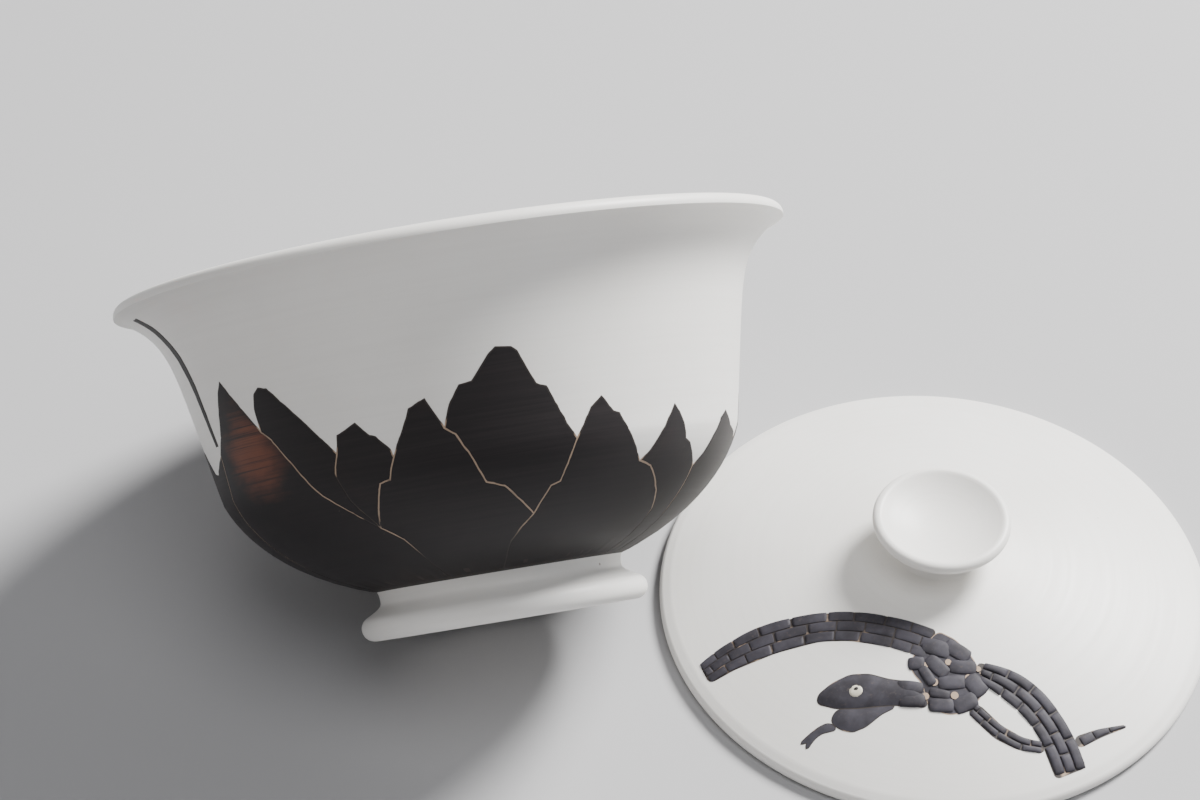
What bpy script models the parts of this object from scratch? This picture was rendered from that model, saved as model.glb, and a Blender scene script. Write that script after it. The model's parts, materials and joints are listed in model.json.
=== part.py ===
"""A lidded tea bowl (gaiwan): the bowl lies tipped on its belly and foot, and its lid lies beside it.

The bowl and the lid are turned in white clay. Their pictures are inlays of dark clay, each a thin
slab in a pocket of its own depth: a range of mountains round the bowl, and a snake wound round an
arched band on the lid. Outlines are in millimetres and degrees; everything built is in metres.
"""

import math

import bmesh
import bpy
from mathutils import Matrix, Vector
from mathutils.geometry import delaunay_2d_cdt

MM = 0.001

# Bowl, measured from the plane that its foot stands on, in millimetres.
BASE_HEIGHT = 6.7        # flat underside of the bowl, where the foot ring is luted on
BELLY_CENTRE = 27.65     # height of the middle of the elliptical belly
BELLY_RADIUS = 37.7
BELLY_DEPTH = 23.6
WALL_START = 22.2        # height at which the belly runs into the sloping wall
WALL_SLOPE = 0.2
LIP_HEIGHT = 50.4
FLARE = 5.6              # how far the lip turns out beyond the sloping wall
FLARE_POWER = 9.0
LIP_TUBE = 1.3           # radius of the rolled edge
INSIDE_FLOOR = 10.0
INSIDE_RADIUS = 34.6
INSIDE_POWER = 2.4
BOWL_SIDES = 64

# Foot ring.
FOOT_GAP = 0.3
FOOT_NECK = 17.2
FOOT_INNER = 15.6
BEAD_CENTRE = 18.6
BEAD_TUBE = 1.8

# Inlays and the pockets that they lie in.
INLAY_DEPTH = 0.7
POCKET_DEPTH = 1.05
CUTTER_RISE = 1.2
INLAY_INSET = 0.2        # half the slip-filled seam between two inlays
POCKET_EASE = 0.1        # how much wider the pocket is than the outlines
STEP = 4.0               # longest edge of an inlay's mesh
DEGREE = 0.62            # width of one degree on the belly, used to even out the mesh
INLAY_BASE = 7.6         # height of the mountains' lower edge

# Lid, measured from the plane of its edge.
LID_RADIUS = 40.5
LID_CROWN = 12.6
LID_DROP = 10.6
LID_POWER = 1.6
LID_THICKNESS = 2.6
LID_EDGE_TUBE = 1.1
LID_SEAT_RADIUS = 6.7
LID_SEAT_HEIGHT = 12.0
LID_SIDES = 64

# Knob on the lid.
KNOB_GAP = 0.3
KNOB_BASE = 6.3
KNOB_WAIST = 5.6
KNOB_RADIUS = 10.0
KNOB_RIM_HEIGHT = 17.6
KNOB_RIM_TUBE = 0.9
KNOB_DISH = 2.5
KNOB_SIDES = 40

# Where the two stand. Turns on the bowl count from BOWL_FRONT, the side that faces up.
BOWL_FRONT = -98.5
LID_PLACE = (64.5, 2.9)

WHITE = (0.80, 0.79, 0.77, 1)
DARK = (0.022, 0.018, 0.019, 1)
SLATE = (0.060, 0.056, 0.070, 1)
IVORY = (0.62, 0.58, 0.48, 1)


# ---------------------------------------------------------------- mountains on the bowl

# Seams between neighbouring mountains, each from the skyline down, as (turn, height).
WEST_MEET = (-24.8, 14.8)
EAST_MEET = (13.3, 13.4)
SEAM_01 = [(-64.5, 28.5), (-68, 20), (-70, INLAY_BASE)]
SEAM_12 = [(-45.3, 30), (-43, 28.7), (-39.2, 25), (-34.3, 20.2), WEST_MEET]
SEAM_23 = [(-27.3, 25.2), (-29, 22.7), (-28, 18.8), WEST_MEET]
SEAM_34 = [(-15.2, 23.4), (-17.3, 20.7), (-19.7, 20.4), WEST_MEET]
WEST_TAIL = [(-21.1, 12.9), (-18, INLAY_BASE)]
SEAM_45 = [(-3.8, 26), (-1.8, 25), (0.4, 22.1), (2.8, 18.3), (6.7, 17.5), EAST_MEET]
SEAM_56 = [(23, 22.1), (19.4, 17), (17.2, 16.6), EAST_MEET]
EAST_TAIL = [(7.4, 10.5), (4.5, INLAY_BASE)]
SEAM_67 = [(39.3, 18.2), (43.2, 17.4), (46.3, 15.8), (53.5, 11.9), (57, INLAY_BASE)]
SEAM_78 = [(60, 16.7), (62, 12.5), (67, INLAY_BASE)]
SEAM_89 = [(84, 20), (85, 14), (88, INLAY_BASE)]

# Crests of the mountains that are seen first, between their seams.
CREST_1 = [(-61, 30.7), (-56, 36), (-53.6, 37.8), (-49, 33.4)]
CREST_2 = [(-45.1, 33.3), (-43.9, 35), (-42.2, 35.7), (-40, 35.4), (-34.1, 30.8)]
CREST_3 = [(-26.2, 27.5), (-21.7, 28.6), (-19.3, 26.7), (-18.1, 26.4), (-15.6, 24.5)]
CREST_4 = [(-11.7, 27.2), (-10, 29.2), (-6.7, 30.1), (-5.5, 28.5)]
CREST_5 = [(-1.9, 28.9), (0.5, 31.1), (3.1, 31.4), (7.1, 34.6), (8.3, 35.2), (11.4, 35), (12.4, 34.3),
           (15.4, 29.8), (17.4, 29.3), (21, 24.2)]
CREST_6 = [(24.2, 23.3), (26.6, 25.8), (29, 27.1), (31.6, 25), (33, 24.6), (37.4, 20)]
CREST_7 = [(42, 19.3), (48.3, 24.9), (49.8, 23.9), (53, 20.3), (54.9, 19.7)]
CREST_8 = [(62.5, 18), (67.5, 22.6), (70.5, 23.6), (75, 21.6), (81, 20.8)]

# The mountains of the far side share one stepped crest, scaled to each one's width and height.
FAR_HEIGHTS = (33, 29, 35, 31, 34, 30)
FAR_START = 84.0
FAR_END = 294.0
FAR_VALLEY = 23.0
FAR_CREST = [(0.20, 0.42), (0.28, 0.46), (0.44, 0.92), (0.52, 1.0), (0.60, 0.93), (0.76, 0.47),
             (0.84, 0.43)]

# The tapered line that runs down from the lip, as (turn, half width in degrees, height).
RIM_LINE = [(-72, 1.5, 49), (-70.6, 1.5, 47.4), (-69.4, 1.45, 45.2), (-67.6, 1.35, 42.6),
            (-66, 1.15, 38.4), (-65.5, 0.95, 34.6), (-64.9, 0.6, 29.8)]

# ---------------------------------------------------------------- the snake on the lid

# Outlines as (x, y) from the middle of the lid.
ARCH_LEFT = [(-37.3, -7.2), (-33, -5.8), (-28.5, -5.0), (-21, -6.0), (-14, -8.3), (-8, -11.6),
             (-4.2, -14.3), (-8.4, -16.9), (-11.6, -14.8), (-16.8, -12.1), (-20.7, -10.8),
             (-26.8, -10.2), (-33, -10.3), (-36.7, -10.9)]
ARCH_RIGHT = [(-0.3, -19.9), (4.3, -21.7), (7.1, -24.1), (9.2, -27.5), (10.7, -32), (11.4, -36.6),
              (6.6, -37.7), (6.3, -35.5), (5.9, -32.3), (4.8, -29), (2.7, -26.1), (0.2, -23)]
COIL = [(-4.2, -14.3), (-2.2, -16), (-0.8, -18.4), (-0.3, -19.9), (0.2, -23), (-0.4, -24.4),
        (-1.6, -25.7), (-3.4, -26.7), (-6, -26.6), (-8.5, -25), (-8.5, -21.3), (-9.4, -19.6),
        (-9.4, -17.9), (-8.4, -16.9)]
HEAD = [(-8.5, -21.3), (-12.8, -19.5), (-15.3, -17.9), (-17.9, -17.2), (-20.6, -17.6),
        (-22.9, -18.6), (-23.4, -19.9), (-21, -21.5), (-18, -22.4), (-15, -23), (-12.6, -23.6),
        (-8.5, -25)]
JAW = [(-21, -21.5), (-18, -22.4), (-15, -23), (-12.6, -23.6), (-15.1, -24.2), (-17.6, -25.3),
       (-19.7, -25.5), (-21.3, -24.5), (-22.3, -23)]
TONGUE = [(-22.3, -23), (-23.8, -23.1), (-25.4, -23.7), (-27.4, -24.8), (-26.1, -24.8),
          (-26.6, -26.1), (-25, -24.8), (-23.8, -24.3), (-21.3, -24.5)]
TAIL = [(-1.6, -25.7), (-0.4, -27.5), (0.9, -29.4), (3.3, -31.4), (5.9, -32.5), (6.1, -34.1),
        (2.4, -33.1), (-0.5, -31), (-2, -28.9), (-3.4, -26.7)]
TAIL_TIP = [(10.75, -32.3), (14.6, -31.5), (19.4, -31.2), (15, -32.6), (11, -34)]
EYE_PLACE = (-17.7, -20.0)
EYE_RADIUS = 1.15
EYE_SIDES = 16


def clear_scene():
    for thing in list(bpy.data.objects):
        bpy.data.objects.remove(thing, do_unlink=True)


def clay(name, colour, roughness):
    """A Principled material with one colour."""
    material = bpy.data.materials.new(name)
    material.use_nodes = True
    shader = material.node_tree.nodes["Principled BSDF"]
    shader.inputs["Base Color"].default_value = colour
    shader.inputs["Roughness"].default_value = roughness
    shader.inputs["Metallic"].default_value = 0.0
    material.diffuse_color = colour
    return material


def new_object(name, shape, material, placement, crease=35):
    """Turn a bmesh in millimetres into an object placed by a matrix."""
    bmesh.ops.recalc_face_normals(shape, faces=shape.faces)
    bmesh.ops.scale(shape, vec=(MM, MM, MM), verts=shape.verts)
    mesh = bpy.data.meshes.new(name)
    shape.to_mesh(mesh)
    shape.free()
    mesh.shade_smooth()
    mesh.set_sharp_from_angle(angle=math.radians(crease))
    made = bpy.data.objects.new(name, mesh)
    bpy.context.scene.collection.objects.link(made)
    if material:
        made.data.materials.append(material)
    made.matrix_world = placement
    return made


def arc(centre_r, centre_z, radius, start, end, steps):
    """Points (r, z) along an arc; angles in degrees, 0 outwards and 90 up."""
    points = []
    for i in range(steps + 1):
        angle = math.radians(start + (end - start) * i / steps)
        points.append((centre_r + radius * math.cos(angle), centre_z + radius * math.sin(angle)))
    return points


def turned(outline, sides):
    """A closed solid turned from an outline of (r, z) points; r = 0 makes a pole."""
    shape = bmesh.new()
    rings = []
    for radius, height in outline:
        if radius < 1e-6:
            rings.append([shape.verts.new((0, 0, height))])
            continue
        ring = []
        for i in range(sides):
            angle = math.tau * i / sides
            ring.append(shape.verts.new((radius * math.cos(angle), radius * math.sin(angle), height)))
        rings.append(ring)
    pairs = list(zip(rings, rings[1:]))
    if len(rings[0]) > 1:
        pairs.append((rings[-1], rings[0]))
    for low, high in pairs:
        for i in range(sides):
            j = (i + 1) % sides
            corners = [low[i % len(low)], low[j % len(low)], high[j % len(high)], high[i % len(high)]]
            shape.faces.new(list(dict.fromkeys(corners)))
    return shape


# ---------------------------------------------------------------- curved surfaces

def bowl_radius(height):
    """Outer radius of the bowl's wall at a height."""
    if height <= WALL_START:
        rise = (BELLY_CENTRE - height) / BELLY_DEPTH
        return BELLY_RADIUS * math.sqrt(1 - rise * rise)
    share = (height - WALL_START) / (LIP_HEIGHT - WALL_START)
    return (bowl_radius(WALL_START) + WALL_SLOPE * (height - WALL_START) + FLARE * share ** FLARE_POWER)


def on_bowl(turn, height, offset):
    """A point above or below the bowl's outer surface; turn in degrees from BOWL_FRONT."""
    radius = bowl_radius(height)
    slope = (bowl_radius(height + 0.05) - bowl_radius(height - 0.05)) / 0.1
    lean = math.hypot(1, slope)
    angle = math.radians(BOWL_FRONT + turn)
    out = radius + offset / lean
    return Vector((out * math.cos(angle), out * math.sin(angle), height - offset * slope / lean))


def lid_height(radius):
    """Height of the lid's outer surface at a radius."""
    return LID_CROWN - LID_DROP * (radius / LID_RADIUS) ** LID_POWER


def on_lid(x, y, offset):
    """A point above or below the lid's outer surface."""
    radius = math.hypot(x, y)
    slope = (lid_height(radius + 0.05) - lid_height(radius - 0.05)) / 0.1
    lean = math.hypot(1, slope)
    out = 1 - offset * slope / lean / radius
    return Vector((x * out, y * out, lid_height(radius) + offset / lean))


# ---------------------------------------------------------------- inlays

def inset_outline(outline, distance):
    """Move every side of a closed outline inwards by a distance (outwards if it is negative)."""
    count = len(outline)
    area = sum(a[0] * b[1] - b[0] * a[1] for a, b in zip(outline, outline[1:] + outline[:1]))
    inward = math.copysign(distance, area)
    moved = []
    for i in range(count):
        before = Vector(outline[i]) - Vector(outline[i - 1])
        after = Vector(outline[(i + 1) % count]) - Vector(outline[i])
        normal_before = Vector((-before.y, before.x)).normalized()
        normal_after = Vector((-after.y, after.x)).normalized()
        middle = (normal_before + normal_after).normalized()
        reach = min(1 / max(middle.dot(normal_after), 0.1), 2.5)
        moved.append(Vector(outline[i]) + middle * inward * reach)
    return moved


def divided(outline, step):
    """The same closed outline with no side longer than a step."""
    points = []
    for start, end in zip(outline, outline[1:] + outline[:1]):
        parts = max(1, math.ceil((end - start).length / step))
        points += [start.lerp(end, i / parts) for i in range(parts)]
    return points


def inside(point, outline):
    """Whether a point lies in a closed outline."""
    crossings = 0
    for a, b in zip(outline, outline[1:] + outline[:1]):
        if (a.y > point.y) != (b.y > point.y):
            if point.x < a.x + (b.x - a.x) * (point.y - a.y) / (b.y - a.y):
                crossings += 1
    return crossings % 2 == 1


def grid_inside(outline, step):
    """Points of a square grid in an outline that keep clear of its border."""
    core = inset_outline(outline, step * 0.45)
    border = divided(outline, step / 4)
    low_x = min(p.x for p in outline)
    low_y = min(p.y for p in outline)
    columns = int((max(p.x for p in outline) - low_x) / step) + 1
    rows = int((max(p.y for p in outline) - low_y) / step) + 1
    points = []
    for i in range(columns):
        for j in range(rows):
            point = Vector((low_x + (i + 0.5) * step, low_y + (j + 0.5) * step))
            clear = min((point - p).length for p in border) > step * 0.4
            if clear and inside(point, outline) and inside(point, core):
                points.append(point)
    return points


def slab(outline, surface, top, bottom, inset, step=STEP):
    """A closed slab that follows a curved surface inside an outline on it."""
    border = divided(inset_outline(outline, inset), step)
    points = border + grid_inside(border, step)
    sides = [(i, (i + 1) % len(border)) for i in range(len(border))]
    flat, _, faces, _, _, _ = delaunay_2d_cdt(points, sides, [], 1, 1e-5)
    shape = bmesh.new()
    upper = [shape.verts.new(surface(p.x, p.y, top)) for p in flat]
    lower = [shape.verts.new(surface(p.x, p.y, bottom)) for p in flat]
    uses = {}
    for face in faces:
        shape.faces.new([upper[i] for i in face])
        shape.faces.new([lower[i] for i in reversed(face)])
        for a, b in zip(face, face[1:] + face[:1]):
            uses[(a, b)] = True
    for a, b in uses:
        if (b, a) not in uses:
            shape.faces.new([upper[b], upper[a], lower[a], lower[b]])
    loose = [v for v in shape.verts if not v.link_faces]
    bmesh.ops.delete(shape, geom=loose, context="VERTS")
    return shape


def on_belly(x, height, offset):
    """The bowl's surface with turns written as widths, so that outlines keep their shape."""
    return on_bowl(x / DEGREE, height, offset)


def widths(outline):
    """An outline of (turn, height) points with its turns written as widths."""
    return [Vector((turn * DEGREE, height)) for turn, height in outline]


def cut(target, name, shape, placement):
    """Subtract a shape from an object with a Boolean modifier."""
    cutter = new_object(name, shape, None, placement)
    cutter.hide_render = True
    cutter.display_type = "WIRE"
    modifier = target.modifiers.new(name, "BOOLEAN")
    modifier.operation = "DIFFERENCE"
    modifier.solver = "EXACT"
    modifier.object = cutter


def far_mountains():
    """Skyline and seams of the far side, as (crest, left seam, right seam) for each mountain."""
    width = (FAR_END - FAR_START) / len(FAR_HEIGHTS)
    seams = [SEAM_89]
    for i in range(1, len(FAR_HEIGHTS)):
        turn = FAR_START + i * width
        seams.append([(turn, FAR_VALLEY), (turn - 2, 16), (turn + 1, INLAY_BASE)])
    seams.append([(turn + 360, height) for turn, height in SEAM_01])
    mountains = []
    for i, height in enumerate(FAR_HEIGHTS):
        left = FAR_START + i * width
        crest = [(left + width * across, FAR_VALLEY + (height - FAR_VALLEY) * up) for across, up in FAR_CREST]
        mountains.append((crest, seams[i], seams[i + 1]))
    return mountains


def mountain_range():
    """Every mountain as (crest, left seam, right seam), once round the bowl from turn -66."""
    front = [
        (CREST_1, SEAM_01, SEAM_12 + WEST_TAIL),
        (CREST_2, SEAM_12, SEAM_23[:-1]),
        (CREST_3, SEAM_23, SEAM_34[:-1]),
        (CREST_4, SEAM_34 + WEST_TAIL, SEAM_45 + EAST_TAIL),
        (CREST_5, SEAM_45, SEAM_56[:-1]),
        (CREST_6, SEAM_56 + EAST_TAIL, SEAM_67),
        (CREST_7, SEAM_67, SEAM_78),
        (CREST_8, SEAM_78, SEAM_89),
    ]
    return front + far_mountains()


def skyline(mountains):
    """The top edge of the whole range, as (turn, height) with no turn twice."""
    points = []
    for crest, left, _ in mountains:
        points += [left[0]] + crest
    return points


def range_pocket(mountains):
    """A closed ring that cuts one pocket for the whole range."""
    edge = skyline(mountains)
    columns = []
    for (turn, height), (next_turn, next_height) in zip(edge, edge[1:] + [(edge[0][0] + 360, edge[0][1])]):
        parts = max(1, math.ceil((next_turn - turn) * DEGREE / STEP))
        for i in range(parts):
            share = i / parts
            columns.append((turn + (next_turn - turn) * share, height + (next_height - height) * share))
    low = INLAY_BASE - POCKET_EASE - INLAY_INSET
    shape = bmesh.new()
    loops = []
    for turn, height in columns:
        rows = [low + (height + POCKET_EASE - low) * i / 7 for i in range(8)]
        outer = [shape.verts.new(on_bowl(turn, row, CUTTER_RISE)) for row in rows]
        inner = [shape.verts.new(on_bowl(turn, row, -POCKET_DEPTH)) for row in reversed(rows)]
        loops.append(outer + inner)
    for here, there in zip(loops, loops[1:] + loops[:1]):
        for i in range(len(here)):
            j = (i + 1) % len(here)
            shape.faces.new([here[i], here[j], there[j], there[i]])
    return shape


# ---------------------------------------------------------------- pieces of the bowl

def build_bowl(placement, white):
    heights = [BASE_HEIGHT + (WALL_START - BASE_HEIGHT) * (i / 9) ** 1.3 for i in range(10)]
    heights += [WALL_START + (LIP_HEIGHT - WALL_START) * (i / 9) ** 0.8 for i in range(1, 9)]
    outside = [(bowl_radius(height), height) for height in heights]
    lip_centre = bowl_radius(LIP_HEIGHT) - LIP_TUBE
    lip = arc(lip_centre, LIP_HEIGHT, LIP_TUBE, -20, 170, 7)
    inside_wall = [(bowl_radius(height) - 2 * LIP_TUBE, height) for height in (48.6, 46.2, 43, 38, 33)]
    inside_bowl = []
    for i in range(10):
        height = BELLY_CENTRE - (BELLY_CENTRE - INSIDE_FLOOR) * math.sin(math.pi / 2 * i / 9)
        rise = (BELLY_CENTRE - height) / (BELLY_CENTRE - INSIDE_FLOOR)
        inside_bowl.append((INSIDE_RADIUS * (1 - rise ** INSIDE_POWER) ** (1 / INSIDE_POWER), height))
    outline = [(0, BASE_HEIGHT)] + outside + lip + inside_wall + inside_bowl
    return new_object("bowl_wall", turned(outline, BOWL_SIDES), white, placement)


def build_foot(placement, white):
    top = BASE_HEIGHT - FOOT_GAP
    outline = [(FOOT_INNER, top), (FOOT_INNER, 1.2), (FOOT_INNER + 0.8, 0), (BEAD_CENTRE, 0)]
    outline += arc(BEAD_CENTRE, BEAD_TUBE, BEAD_TUBE, -70, 80, 6)
    outline += [(FOOT_NECK + 0.25, 4.2), (FOOT_NECK, 5.0), (FOOT_NECK + 0.2, top)]
    return new_object("foot_ring", turned(outline, BOWL_SIDES), white, placement)


def build_mountains(bowl, placement, dark):
    mountains = mountain_range()
    cut(bowl, "cut_mountains", range_pocket(mountains), placement)
    for number, (crest, left, right) in enumerate(mountains, 1):
        outline = widths(crest + right + left[::-1])
        shape = slab(outline, on_belly, 0.0, -INLAY_DEPTH, INLAY_INSET)
        new_object(f"mountain_{number:02d}", shape, dark, placement)


def build_rim_line(bowl, placement, dark):
    right = [(turn + half, height) for turn, half, height in RIM_LINE]
    left = [(turn - half, height) for turn, half, height in reversed(RIM_LINE)]
    outline = widths(right + left)
    cut(bowl, "cut_rim_line", slab(outline, on_belly, CUTTER_RISE, -POCKET_DEPTH, -POCKET_EASE), placement)
    new_object("rim_line", slab(outline, on_belly, 0.0, -INLAY_DEPTH, INLAY_INSET), dark, placement)


def resting_tilt():
    """Angle of the bowl's axis above the floor when foot bead and belly both touch it."""
    low = math.radians(30)
    high = math.radians(55)
    for _ in range(40):
        middle = (low + high) / 2
        across = math.cos(middle)
        along = math.sin(middle)
        belly = math.hypot(BELLY_RADIUS * across, BELLY_DEPTH * along) - BELLY_CENTRE * along
        bead = BEAD_CENTRE * across - BEAD_TUBE * along + BEAD_TUBE
        if belly > bead:
            low = middle
        else:
            high = middle
    return low


def bowl_placement():
    """The bowl's frame: tipped towards +Y, with its belly and its foot bead on the floor."""
    tilt = resting_tilt()
    bead = BEAD_CENTRE * math.cos(tilt) - BEAD_TUBE * math.sin(tilt) + BEAD_TUBE
    turn = Matrix.Rotation(tilt - math.pi / 2, 4, "X")
    return Matrix.Translation((0, 0, bead * MM)) @ turn


# ---------------------------------------------------------------- pieces of the lid

def build_lid(placement, white):
    edge = arc(LID_RADIUS - LID_EDGE_TUBE, LID_EDGE_TUBE, LID_EDGE_TUBE, -90, 75, 7)
    edge_top = LID_RADIUS - 1.4
    radii = [edge_top + (LID_SEAT_RADIUS + 0.5 - edge_top) * i / 11 for i in range(12)]
    outside = [(radius, lid_height(radius)) for radius in radii]
    seat = [(LID_SEAT_RADIUS, LID_SEAT_HEIGHT), (0, LID_SEAT_HEIGHT)]
    rim_inner = LID_RADIUS - 2.0
    inner_radii = [rim_inner * i / 10 for i in range(1, 10)]
    under = [(radius, lid_height(radius) - LID_THICKNESS) for radius in inner_radii]
    outline = [(0, LID_CROWN - LID_THICKNESS)] + under + [(rim_inner, 0)] + edge + outside + seat
    return new_object("lid_dome", turned(outline, LID_SIDES), white, placement)


def build_knob(placement, white):
    base = LID_SEAT_HEIGHT + KNOB_GAP
    rim = KNOB_RADIUS - KNOB_RIM_TUBE
    outline = [(0, base), (KNOB_BASE, base), (KNOB_BASE - 0.5, base + 0.9), (KNOB_WAIST, base + 1.9)]
    outline += [(KNOB_WAIST + 0.4, base + 2.9), (KNOB_WAIST + 1.5, base + 3.8)]
    outline += arc(rim, KNOB_RIM_HEIGHT, KNOB_RIM_TUBE, -65, 100, 7)
    for i in range(1, 6):
        share = 1 - i / 5
        outline.append((rim * 0.96 * share, KNOB_RIM_HEIGHT + KNOB_RIM_TUBE - KNOB_DISH * (1 - share ** 2.2)))
    return new_object("lid_knob", turned(outline, KNOB_SIDES), white, placement)


def build_snake(lid, placement, slate, ivory):
    pieces = {
        "snake_arch_left": ARCH_LEFT,
        "snake_arch_right": ARCH_RIGHT,
        "snake_coil": COIL,
        "snake_head": HEAD,
        "snake_jaw": JAW,
        "snake_tongue": TONGUE,
        "snake_tail": TAIL,
        "snake_tail_tip": TAIL_TIP,
    }
    for name, points in pieces.items():
        outline = [Vector(point) for point in points]
        pocket = slab(outline, on_lid, CUTTER_RISE, -POCKET_DEPTH, -POCKET_EASE, STEP / 2)
        cut(lid, "cut_" + name, pocket, placement)
        inlay = slab(outline, on_lid, 0.0, -INLAY_DEPTH, INLAY_INSET, STEP / 2)
        made = new_object(name, inlay, slate, placement)
        if name == "snake_head":
            cut(made, "cut_snake_eye", eye_shape(EYE_RADIUS + 0.25, CUTTER_RISE, -0.45), placement)
    new_object("snake_eye", eye_shape(EYE_RADIUS, 0.1, -0.2), ivory, placement)


def eye_shape(radius, top, bottom):
    """A small round plug in the snake's head."""
    ring = []
    for i in range(EYE_SIDES):
        angle = math.tau * i / EYE_SIDES
        ring.append(Vector((EYE_PLACE[0] + radius * math.cos(angle), EYE_PLACE[1] + radius * math.sin(angle))))
    return slab(ring, on_lid, top, bottom, 0.0)


def centre_on_floor():
    """Move everything so that the middle of its footprint is the origin."""
    bpy.context.view_layer.update()
    corners = []
    for thing in bpy.data.objects:
        if not thing.hide_render:
            corners += [thing.matrix_world @ vertex.co for vertex in thing.data.vertices]
    middle_x = (min(c.x for c in corners) + max(c.x for c in corners)) / 2
    middle_y = (min(c.y for c in corners) + max(c.y for c in corners)) / 2
    lowest = min(c.z for c in corners)
    for thing in bpy.data.objects:
        thing.location = thing.location - Vector((middle_x, middle_y, lowest))


def main():
    clear_scene()
    white = clay("white_clay", WHITE, 0.42)
    dark = clay("dark_clay", DARK, 0.38)
    slate = clay("slate_clay", SLATE, 0.50)
    ivory = clay("ivory_clay", IVORY, 0.45)
    tipped = bowl_placement()
    beside = Matrix.Translation((LID_PLACE[0] * MM, LID_PLACE[1] * MM, 0))
    bowl = build_bowl(tipped, white)
    build_foot(tipped, white)
    build_mountains(bowl, tipped, dark)
    build_rim_line(bowl, tipped, dark)
    lid = build_lid(beside, white)
    build_knob(beside, white)
    build_snake(lid, beside, slate, ivory)
    centre_on_floor()


main()
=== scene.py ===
"""Looks for the gaiwan: satin white clay, inlaid dark mountains, and an inlaid snake on the lid.

Lengths in the tables are millimetres, in the bowl's own frame (Z from its foot to its lip) or in the
lid's own frame (Z up from its edge). Outlines of the inlays are read from the frame's nodes.
"""

import json
import math
import random

import bmesh
import bpy
from mathutils import Matrix, Vector, noise
from mathutils.geometry import delaunay_2d_cdt


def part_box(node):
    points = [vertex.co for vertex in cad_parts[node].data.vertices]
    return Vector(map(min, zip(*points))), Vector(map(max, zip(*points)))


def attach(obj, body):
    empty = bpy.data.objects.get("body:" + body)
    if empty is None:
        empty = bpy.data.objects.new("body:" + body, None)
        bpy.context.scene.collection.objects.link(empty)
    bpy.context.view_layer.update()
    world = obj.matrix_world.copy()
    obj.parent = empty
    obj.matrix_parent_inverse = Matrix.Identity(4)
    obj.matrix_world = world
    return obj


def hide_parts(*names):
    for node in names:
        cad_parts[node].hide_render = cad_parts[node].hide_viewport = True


MM = 0.001

# Bowl profile.
BASE_HEIGHT = 6.7
BELLY_CENTRE = 27.65
BELLY_RADIUS = 37.7
BELLY_DEPTH = 23.6
WALL_START = 22.2
WALL_SLOPE = 0.2
LIP_HEIGHT = 50.4
FLARE = 5.6
FLARE_POWER = 9.0
LIP_TUBE = 1.3
INSIDE_FLOOR = 10.0
INSIDE_RADIUS = 34.6
INSIDE_POWER = 2.4
INSIDE_DROP = 1.2        # the inner wall starts this far below the middle of the rolled lip
THINNING_TOP = 42.0      # above this height the wall is as thin as the lip
UNDERSIDE_RINGS = (0, 8, 16.6)
LIP_ARC = (-12, 172, 18)  # first angle, last angle and steps, as in every arc
WALL_STEPS = 90
INSIDE_STEPS = 50
TURNED_SIDES = 240
BOWL_FRONT = -98.5       # turns round the bowl count from this heading
DEGREE = 0.62            # width of one degree on the belly

# Foot profile.
FOOT_TOP = 7.3           # the foot ring runs a little into the bowl's underside
FOOT_INNER = 15.6
FOOT_INNER_RINGS = (FOOT_TOP, 4, 1.2)
FOOT_EDGE = 1.0          # radius of the rounded inner edge
FOOT_EDGE_ARC = (180, 265, 6)
FOOT_NECK = 17.2
FOOT_SWELL = 0.55        # how far the neck widens again at its top
NECK_END = 0.45          # share of the foot's height over which it narrows
SWELL_START = 0.55
SWELL_SPAN = 0.45
NECK_STEPS = 12
BEAD_CENTRE = 18.6
BEAD_TUBE = 1.8
BEAD_ARC = (-88, 62, 20)

# Lid and knob profile.
LID_RADIUS = 40.5
LID_CROWN = 12.6
LID_DROP = 10.6
LID_POWER = 1.6
LID_THICKNESS = 2.6
LID_EDGE_TUBE = 1.1
LID_EDGE_ARC = (-90, 72, 16)
LID_EDGE_WIDTH = 1.3     # the dome ends this far inside the rim
LID_RIM_WIDTH = 2.0      # width of the flat ring on which the lid lies
LID_STEPS = 60
LID_UNDER_STEPS = 50
KNOB_BASE = 6.3
KNOB_SPREAD = 0.9        # how far the knob's foot spreads over the lid
KNOB_SEAT = 0.8          # how far the lid's own surface runs on under the knob
KNOB_SINK = 0.05
KNOB_WAIST = 5.6
KNOB_WAIST_RISE = 2.1
KNOB_RADIUS = 10.0
KNOB_RIM_HEIGHT = 17.6
KNOB_RIM_TUBE = 0.9
KNOB_RIM_ARC = (-55, 105, 18)
KNOB_RIM_REACH = 0.35    # the disc's underside meets the rim this far past its middle
KNOB_RIM_DROP = 0.9      # and this share of the tube below it
KNOB_DISH = 2.5
KNOB_DISH_POWER = 2.2
KNOB_WAIST_STEPS = 8
KNOB_DISC_STEPS = 12
KNOB_DISH_STEPS = 25

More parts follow.
